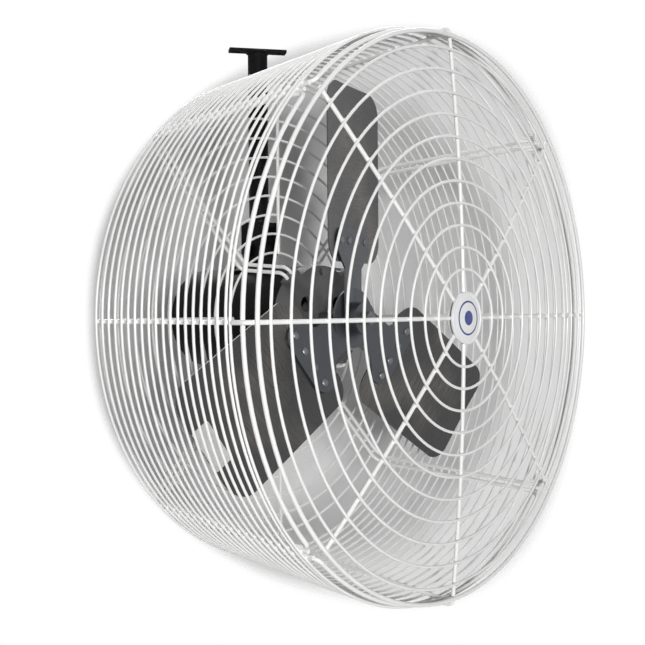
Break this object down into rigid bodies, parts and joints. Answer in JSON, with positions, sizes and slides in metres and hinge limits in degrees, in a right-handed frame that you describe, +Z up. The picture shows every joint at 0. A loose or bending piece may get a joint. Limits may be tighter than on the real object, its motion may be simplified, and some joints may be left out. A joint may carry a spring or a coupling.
{
  "type": "air circulator fan",
  "caption": "Hanging air circulator fan: a round white wire cage with a domed front guard, a dark paddle-blade propeller, a black motor through its back and a black T hanger.",
  "frame": {"origin": "middle of the T bar's top face, where it is bolted to what it hangs from", "axes": "+Z up along the hanger pipe, -Y the way the fan blows, +X across"},
  "size_m": [0.678, 0.4445, 0.705],
  "materials": {
    "white_paint": "glossy white coating on steel wire",
    "black_paint": "satin black",
    "grey_paint": "satin grey",
    "blade_metal": "dull dark sheet",
    "spider_steel": "bluish sheet steel",
    "zinc_plate": "zinc plated",
    "black_steel": "blackened",
    "badge_plastic": "plain white",
    "lamination": "stacked sheet",
    "winding": "varnished wire",
    "bearing_steel": "ground steel",
    "capacitor_can": "drawn can",
    "gland_plastic": "moulded black"
  },
  "bodies": {
    "hanger": {"t_bar": "black_paint", "hanger_pipe": "black_paint", "swivel_stud": "black_steel", "swivel_nut": "black_steel", "swivel_washers": "black_steel"},
    "yoke": {"swivel_yoke": "black_paint", "tilt_pivot_bolt": "black_steel", "tilt_pivot_nut": "black_steel", "tilt_washers": "black_steel"},
    "propeller": {"motor_shaft": "zinc_plate", "rotor_core": "lamination", "blade_spider": "spider_steel", "blade_rivets": "zinc_plate", "hub_set_screw": "zinc_plate", "blade_1": "blade_metal", "blade_2": "blade_metal", "blade_3": "blade_metal"},
    "head": {"cage_ribs": "white_paint", "barrel_hoops_front": "white_paint", "barrel_hoops_rear": "white_paint", "barrel_front_lip": "white_paint", "rear_guard_rings": "white_paint", "front_guard_rings": "white_paint", "front_guard_spokes": "white_paint", "front_guard_rim": "white_paint", "badge_back_plate": "white_paint", "support_arm_upper_right": "white_paint", "support_arm_upper_left": "white_paint", "support_arm_lower_left": "white_paint", "support_arm_lower_right": "white_paint", "motor_saddle": "black_paint", "motor_shell": "black_paint", "motor_rear_bell": "black_paint", "capacitor_cover": "black_paint", "motor_front_bell": "grey_paint", "saddle_screws": "black_steel", "motor_through_bolts": "zinc_plate", "badge_screw": "zinc_plate", "guard_badge": "badge_plastic", "stator_core": "lamination", "stator_windings": "winding", "front_bearing": "bearing_steel", "rear_bearing": "bearing_steel", "run_capacitor": "capacitor_can", "cable_gland": "gland_plastic"}
  },
  "joints": [
    {"name": "swivel", "type": "hinge", "parent": "hanger", "child": "yoke", "pos_m": [0, 0, -0.24], "axis": [0, 0, 1], "range_deg": [-170, 170]},
    {"name": "tilt", "type": "hinge", "parent": "yoke", "child": "head", "pos_m": [0, 0, -0.274], "axis": [1, 0, 0], "range_deg": [-4, 45]},
    {"name": "spin", "type": "hinge", "parent": "head", "child": "propeller", "pos_m": [0, -0.166, -0.366], "axis": [0, 1, 0], "continuous": true}
  ]
}
